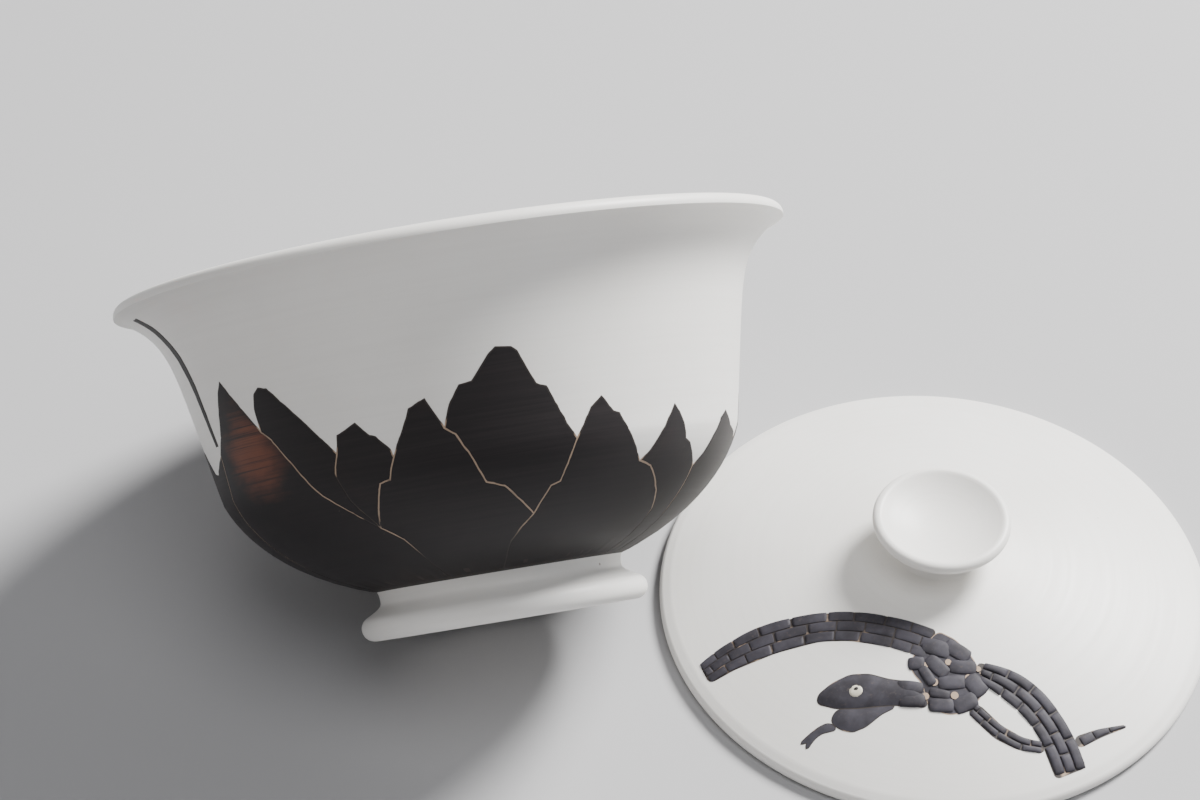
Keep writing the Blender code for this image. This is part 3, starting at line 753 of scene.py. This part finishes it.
def make_knob(placement, white):
    rim = KNOB_RADIUS - KNOB_RIM_TUBE
    foot = KNOB_BASE + KNOB_SPREAD
    low = lid_height(foot) - KNOB_SINK
    outline = [(0, low), (foot, low)]
    # A hollow curve from the knob's foot to its waist, and a second one out to the disc's rim.
    waist_height = low + KNOB_WAIST_RISE
    for i in range(1, KNOB_WAIST_STEPS + 1):
        angle = math.pi / 2 * i / KNOB_WAIST_STEPS
        outline.append((KNOB_WAIST + (foot - KNOB_WAIST) * (1 - math.sin(angle)),
                        waist_height - (waist_height - low) * math.cos(angle)))
    disc_low = KNOB_RIM_HEIGHT - KNOB_RIM_TUBE * KNOB_RIM_DROP
    for i in range(1, KNOB_DISC_STEPS + 1):
        angle = math.pi / 2 * i / KNOB_DISC_STEPS
        outline.append((KNOB_WAIST + (rim + KNOB_RIM_REACH - KNOB_WAIST) * (1 - math.cos(angle)),
                        waist_height + (disc_low - waist_height) * math.sin(angle)))
    outline += arc(rim, KNOB_RIM_HEIGHT, KNOB_RIM_TUBE, *KNOB_RIM_ARC)
    start_r, start_z = outline[-1]
    for i in range(1, KNOB_DISH_STEPS + 1):
        share = 1 - i / KNOB_DISH_STEPS
        outline.append((start_r * share, start_z - KNOB_DISH * (1 - share ** KNOB_DISH_POWER)))
    made = piece_from("knob_turned", turned(outline), placement, [white])
    finish_piece(made, "lid", "white_clay", "lid_knob")


# ---------------------------------------------------------------- mountains

def paint_tan(made, placement, others):
    """Store where the slip is tan (1) and where it stays dark (0)."""
    faded = [Vector((turn * DEGREE, height)) for turn, height in FADED_SEAM]
    back = placement.inverted()
    values = []
    for vertex in made.data.vertices:
        place = Vector(off_bowl(back @ vertex.co / MM)[:2])
        tan = smooth((place.y - DARK_LINE_HEIGHT) / (TAN_LINE_HEIGHT - DARK_LINE_HEIGHT))
        if tan and line_distance(place, faded) < FADED_REACH:
            tan = 0.0
        if tan and not any(in_seam(place, other) for other in others):
            tan = 0.0
        values.append(tan)
    layer = made.data.attributes.new("tan", "FLOAT", "POINT")
    layer.data.foreach_set("value", values)


def in_seam(place, outline):
    """Whether a place is close to an outline; turns count on past a full circle."""
    full_turn = 360 * DEGREE
    x = place.x + round((outline[0].x - place.x) / full_turn) * full_turn
    low = min(p.x for p in outline) - SEAM_SEARCH
    high = max(p.x for p in outline) + SEAM_SEARCH
    if not low < x < high:
        return False
    return border_distance(Vector((x, place.y)), outline) < SEAM_REACH


def edge_round(distance):
    """Height of an inlay's top over the surface: its edge is slightly rounded."""
    return INLAY_EDGE + (INLAY_PROUD - INLAY_EDGE) * smooth(distance / INLAY_EDGE_WIDTH)


def make_bowl_inlay(node, number, placement, clay, seam, outlines):
    """A mountain or the rim line: dark clay on a bed of slip."""
    # A mountain that reaches the foot runs on under its edge.
    outline = []
    for point in outlines[node]:
        at_foot = point.y < INLAY_BASE + INLAY_BASE_REACH
        outline.append(Vector((point.x, BASE_HEIGHT + INLAY_UNDER_FOOT if at_foot else point.y)))
    shape = bmesh.new()
    proud = SLIP_PROUD - SLIP_STAGGER * (number % SLIP_LEVELS)
    bed = wandering(divided(inset_outline(outline, -SLIP_SPREAD), OUTLINE_STEP))
    face = wandering(divided(inset_outline(outline, -INLAY_SPREAD), OUTLINE_STEP))
    for point in bed + face:
        point.y = max(point.y, BASE_HEIGHT + INLAY_BASE_GAP)
    patch(shape, bed, on_bowl, lambda distance: proud, INLAY_FLOOR, CLAY_STEP, 1)
    patch(shape, face, on_bowl, edge_round, INLAY_FLOOR, CLAY_STEP, 0)
    made = piece_from(node + "_inlay", shape, placement, [clay, seam])
    others = [other for name, other in outlines.items() if name not in (node, "rim_line")]
    paint_tan(made, placement, others)
    made.data.set_sharp_from_angle(angle=math.radians(40))
    finish_piece(made, "bowl", "dark_clay", node)


def make_backing(placement, clay):
    """The band of dark clay that shows between the mountains' feet."""
    outline = []
    low = BASE_HEIGHT + INLAY_BASE_GAP
    for start, end, offset in ((low, BACKING_TOP, BACKING_PROUD), (BACKING_TOP, low, INLAY_FLOOR)):
        for i in range(BACKING_STEPS + 1):
            place = on_bowl(0, start + (end - start) * i / BACKING_STEPS, offset)
            outline.append((math.hypot(place.x, place.y), place.z))
    made = piece_from("mountain_band", turned(outline), placement, [clay])
    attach(made, "bowl")


# ---------------------------------------------------------------- snake

def along(line, share):
    """A place on a smooth curve through (x, y, half width) points, with its direction."""
    spans = len(line) - 1
    at = min(max(share, 0.0), 1.0) * spans
    index = min(int(at), spans - 1)
    local = at - index
    points = [Vector(line[min(max(index + k, 0), spans)]) for k in (-1, 0, 1, 2)]
    if index == 0:
        points[0] = points[1] * 2 - points[2]
    if index == spans - 1:
        points[3] = points[2] * 2 - points[1]
    p0, p1, p2, p3 = points
    place = 0.5 * (2 * p1 + (p2 - p0) * local + (2 * p0 - 5 * p1 + 4 * p2 - p3) * local ** 2
                   + (3 * p1 - p0 - 3 * p2 + p3) * local ** 3)
    heading = 0.5 * ((p2 - p0) + 2 * (2 * p0 - 5 * p1 + 4 * p2 - p3) * local
                     + 3 * (3 * p1 - p0 - 3 * p2 + p3) * local ** 2)
    return place, Vector((heading.x, heading.y)).normalized()


def line_length(line):
    places = [along(line, i / LINE_STEPS)[0].xy for i in range(LINE_STEPS + 1)]
    return sum((b - a).length for a, b in zip(places, places[1:]))


def add_plate(shape, line, start, end, low, high, rise, dice, corner=PLATE_ROUND):
    """One convex scale plate; start and end are shares of the line, low and high of its width."""
    grid = []
    tilt = dice.uniform(-PLATE_TILT, PLATE_TILT) * rise / PLATE_RISE
    for a in PLATE_STEPS:
        row = []
        for b in PLATE_STEPS:
            round_a = a * math.sqrt(1 - corner * b * b)
            round_b = b * math.sqrt(1 - corner * a * a)
            share = (start + end) / 2 + (end - start) / 2 * round_a
            place, heading = along(line, share)
            across = (low + high) / 2 + (high - low) / 2 * round_b
            x = place.x - heading.y * across * place.z
            y = place.y + heading.x * across * place.z
            dome = (1 - abs(a) ** 5) * (1 - abs(b) ** 4)
            height = PLATE_BASE + rise * (PLATE_EDGE + (1 - PLATE_EDGE) * dome) + tilt * a
            if 1 in (abs(a), abs(b)):
                height = PLATE_SKIRT
            row.append(shape.verts.new(on_lid(x, y, height)))
        grid.append(row)
    for i in range(len(grid) - 1):
        for j in range(len(grid) - 1):
            shape.faces.new([grid[i][j], grid[i + 1][j], grid[i + 1][j + 1], grid[i][j + 1]])


def add_plates(shape, line, rows, length, rise, seed):
    """Rows of plates along a line, laid like bricks, each a little different."""
    dice = random.Random(seed)
    total = line_length(line)
    for row in range(rows):
        low = -1 + 2 * row / rows
        high = low + 2 / rows
        at = -length * (0.5 if row % 2 else 0.0) * dice.uniform(0.8, 1.1)
        while at < total - PLATE_OVERRUN:
            step = length * dice.uniform(0.85, 1.15)
            if total - at - step < PLATE_REST:
                step = total - at
            start = max(at, 0) + PLATE_GAP / 2
            end = min(at + step, total) - PLATE_GAP / 2
            if end - start > PLATE_SHORTEST:
                middle = along(line, (start + end) / 2 / total)[0].z
                trim = PLATE_GAP / 2 / middle
                add_plate(shape, line, start / total, end / total, low + trim, high - trim, rise, dice)
            at += step


def add_single_plates(shape, plates, rise, seed):
    """Plates that lie on no band, each with its own place, size and angle."""
    dice = random.Random(seed)
    for x, y, half_length, half_width, angle in plates:
        heading = math.radians(angle)
        reach = Vector((math.cos(heading), math.sin(heading))) * half_length
        line = [(x + reach.x * k, y + reach.y * k, half_width) for k in (-1, 0, 1)]
        add_plate(shape, line, 0, 1, -1, 1, rise, dice, SINGLE_ROUND)


def make_snake_piece(node, placement, clay, seam, bands=(), rise=0.0, singles=(), spots=()):
    """A piece of the snake: a bed of slip, one smooth pillow if it rises, plates and spots of slip.

    Bands are (line, rows, length of a plate, rise) and spots are (x, y, radius).
    """
    outline = rounded(divided(node_outline(node, placement, off_lid), SNAKE_SIDE))
    shape = bmesh.new()
    bed = divided(inset_outline(outline, -SNAKE_SLIP_SPREAD), OUTLINE_STEP)
    patch(shape, bed, on_lid, lambda distance: SLIP_PROUD, INLAY_FLOOR, CLAY_STEP, 1)
    if rise:
        def pillow(distance):
            return PILLOW_BASE + rise * math.sin(min(distance / PILLOW_WIDTH, 1) * math.pi / 2)
        face = divided(inset_outline(outline, -SNAKE_SPREAD), OUTLINE_STEP)
        patch(shape, face, on_lid, pillow, INLAY_FLOOR, PILLOW_STEP, 0)
    for line, rows, length, height in bands:
        add_plates(shape, line, rows, length, height, BAND_SEED)
    add_single_plates(shape, singles, max(rise, PLATE_RISE), SINGLE_SEED)
    for x, y, radius in spots:
        ring = ring_round(x, y, radius, SPOT_SIDES)
        patch(shape, ring, on_lid, lambda distance: SPOT_RISE, 0.0, SPOT_STEP, 1)
    bmesh.ops.recalc_face_normals(shape, faces=shape.faces)
    made = piece_from(node + "_inlay", shape, placement, [clay, seam])
    made.data.set_sharp_from_angle(angle=math.radians(55))
    finish_piece(made, "lid", "slate_clay", node)


def make_eye(placement, ivory, dark):
    shape = bmesh.new()
    for index, (radius, low, high, shift) in enumerate(EYE_PARTS):
        def dome(distance, low=low, high=high, radius=radius):
            return low + (high - low) * math.sqrt(max(1 - (1 - min(distance / radius, 1)) ** 2, 0))
        ring = ring_round(EYE_PLACE[0] + shift[0], EYE_PLACE[1] + shift[1], radius, EYE_SIDES, EYE_FLATTENING)
        patch(shape, ring, on_lid, dome, 0.0, EYE_STEP, index)
    made = piece_from("snake_eye_inlay", shape, placement, [ivory, dark])
    finish_piece(made, "lid", "ivory_clay", "snake_eye")


# ---------------------------------------------------------------- stage

def make_stage():
    floor_mesh = bpy.data.meshes.new("floor")
    half = FLOOR_SIZE / 2
    corners = [(-half, -half, 0), (half, -half, 0), (half, half, 0), (-half, half, 0)]
    floor_mesh.from_pydata(corners, [], [(0, 1, 2, 3)])
    floor = bpy.data.objects.new("floor", floor_mesh)
    bpy.context.scene.collection.objects.link(floor)
    nodes = Nodes("pale_floor")
    nodes.shader.inputs["Base Color"].default_value = FLOOR_GREY
    nodes.shader.inputs["Roughness"].default_value = 0.7
    floor.data.materials.append(nodes.material)


def make_light(name, place, size, power, colour):
    data = bpy.data.lights.new(name, "AREA")
    data.shape = "DISK"
    data.size = size
    data.energy = power
    data.color = colour
    light = bpy.data.objects.new(name, data)
    light.location = place
    light.rotation_euler = (Vector(LIGHTS_AIM) - Vector(place)).to_track_quat("-Z", "Y").to_euler()
    bpy.context.scene.collection.objects.link(light)


def make_lights():
    for light in LIGHTS:
        make_light(*light)
    world = bpy.data.worlds.new("studio")
    world.use_nodes = True
    background = world.node_tree.nodes["Background"]
    background.inputs["Color"].default_value = SKY_GREY
    background.inputs["Strength"].default_value = SKY_STRENGTH
    bpy.context.scene.world = world


def make_camera():
    turn = math.radians(CAMERA_TURN)
    rise = math.radians(CAMERA_RISE)
    back = Vector((-math.sin(turn) * math.cos(rise), -math.cos(turn) * math.cos(rise), math.sin(rise)))
    data = bpy.data.cameras.new("camera")
    data.lens = LENS
    camera = bpy.data.objects.new("camera", data)
    camera.location = Vector(CAMERA_AIM) + back * CAMERA_DISTANCE
    camera.rotation_euler = back.to_track_quat("Z", "Y").to_euler()
    bpy.context.scene.collection.objects.link(camera)
    bpy.context.scene.camera = camera


# ---------------------------------------------------------------- the whole

def bowl_frame():
    """The bowl's own frame, from the foot's flat face in the record and the middle of the foot's box."""
    mount = next(m for m in frame["record"]["mounts"] if m["name"] == "foot_base")
    axis = -Vector(mount["axis"]).normalized()
    low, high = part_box("foot_ring")
    place = Vector(mount["pos_m"])
    place.x = (low[0] + high[0]) / 2
    tilt = Matrix.Rotation(-math.acos(axis.z), 4, "X")
    return Matrix.Translation(place) @ tilt


def lid_frame():
    """The lid's own frame: the middle of its box, at its lower edge."""
    low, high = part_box("lid_dome")
    return Matrix.Translation(((low[0] + high[0]) / 2, (low[1] + high[1]) / 2, low[2]))


noise.seed_set(NOISE_SEED)
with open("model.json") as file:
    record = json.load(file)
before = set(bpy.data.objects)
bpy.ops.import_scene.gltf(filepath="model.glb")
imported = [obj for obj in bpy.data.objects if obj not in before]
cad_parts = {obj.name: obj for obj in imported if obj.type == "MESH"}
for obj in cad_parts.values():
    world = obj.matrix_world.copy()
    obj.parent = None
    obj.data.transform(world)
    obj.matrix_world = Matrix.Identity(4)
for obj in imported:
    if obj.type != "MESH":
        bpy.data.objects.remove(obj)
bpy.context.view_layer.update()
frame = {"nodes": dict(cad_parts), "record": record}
bowl_place = bowl_frame()
lid_place = lid_frame()

wall_white = white_clay("white_clay_wall", bowl_place, False)
lid_white = white_clay("white_clay_lid", lid_place, True)
dark = dark_clay("dark_clay_plain", bowl_place)
rust_turn, rust_height = RUST_PLACE
rusty = dark_clay("dark_clay_rusty", bowl_place, on_bowl(rust_turn * DEGREE, rust_height, 0) * MM)
seam_slip = slip("seam_slip", True, SEAM_TAN)
scale_slip = slip("scale_slip", False, SCALE_TAN)
coil_slip = slip("coil_slip", False, COIL_TAN)
slate = slate_clay("slate_clay")
ivory = ivory_clay("ivory_clay")

make_bowl(bowl_place, wall_white)
make_foot(bowl_place, wall_white)
make_lid(lid_place, lid_white)
make_knob(lid_place, lid_white)

mountains = sorted(name for name in frame["nodes"] if name.startswith("mountain_"))
outlines = {name: node_outline(name, bowl_place, off_bowl) for name in mountains + ["rim_line"]}
for number, node in enumerate(mountains):
    clay = rusty if node == RUSTY_MOUNTAIN else dark
    make_bowl_inlay(node, number, bowl_place, clay, seam_slip, outlines)
make_bowl_inlay("rim_line", 0, bowl_place, dark, seam_slip, outlines)
make_backing(bowl_place, dark)

make_snake_piece("snake_arch_left", lid_place, slate, scale_slip, [(ARCH_LEFT_LINE, 3, 3.8, 0.14)])
make_snake_piece("snake_arch_right", lid_place, slate, scale_slip, [(ARCH_RIGHT_LINE, 3, 3.5, PLATE_RISE)])
make_snake_piece("snake_coil", lid_place, slate, coil_slip, rise=COIL_RISE, singles=COIL_PLATES,
                 spots=COIL_SPOTS)
make_snake_piece("snake_head", lid_place, slate, scale_slip, rise=HEAD_RISE, singles=NECK_PLATES)
make_snake_piece("snake_jaw", lid_place, slate, scale_slip, rise=JAW_RISE)
make_snake_piece("snake_tongue", lid_place, slate, scale_slip, rise=TONGUE_RISE)
make_snake_piece("snake_tail", lid_place, slate, scale_slip, [(TAIL_LINE, 2, 2.8, 0.2)])
make_snake_piece("snake_tail_tip", lid_place, slate, scale_slip, [(TAIL_TIP_LINE, 1, 2.6, 0.2)])
make_eye(lid_place, ivory, dark)

make_stage()
make_lights()
make_camera()
